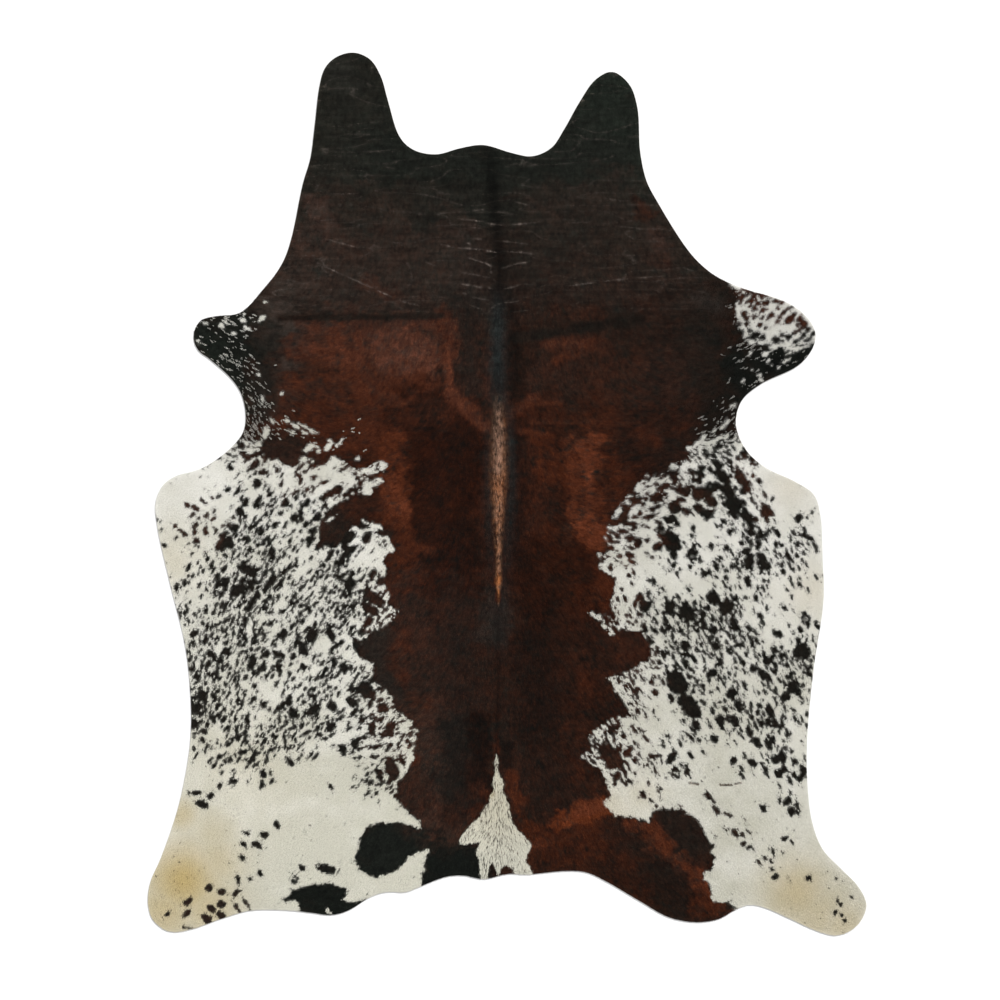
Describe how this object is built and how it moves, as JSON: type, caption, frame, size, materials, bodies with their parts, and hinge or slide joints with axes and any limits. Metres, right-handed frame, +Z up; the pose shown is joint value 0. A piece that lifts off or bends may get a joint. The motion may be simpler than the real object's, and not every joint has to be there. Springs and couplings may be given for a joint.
{
  "type": "cowhide rug",
  "caption": "Whole tanned cowhide with its hair on, trimmed to its natural outline, which lies flat on a floor as a rug.",
  "frame": {"origin": "on the floor, in the middle of the rectangle round the outline; the underside lies on z = 0", "axes": "+Y from the middle towards the neck, along the longest side; +X towards the side of the foreleg that is mostly white; +Z up, out of the hair side"},
  "size_m": [1.795, 2.205, 0.0067],
  "materials": {
    "hair_on_hide": "short lying hair with a soft sheen: dark red-brown back, white flanks full of black and brown specks"
  },
  "bodies": {
    "root": {"hide": "hair_on_hide"}
  },
  "joints": []
}
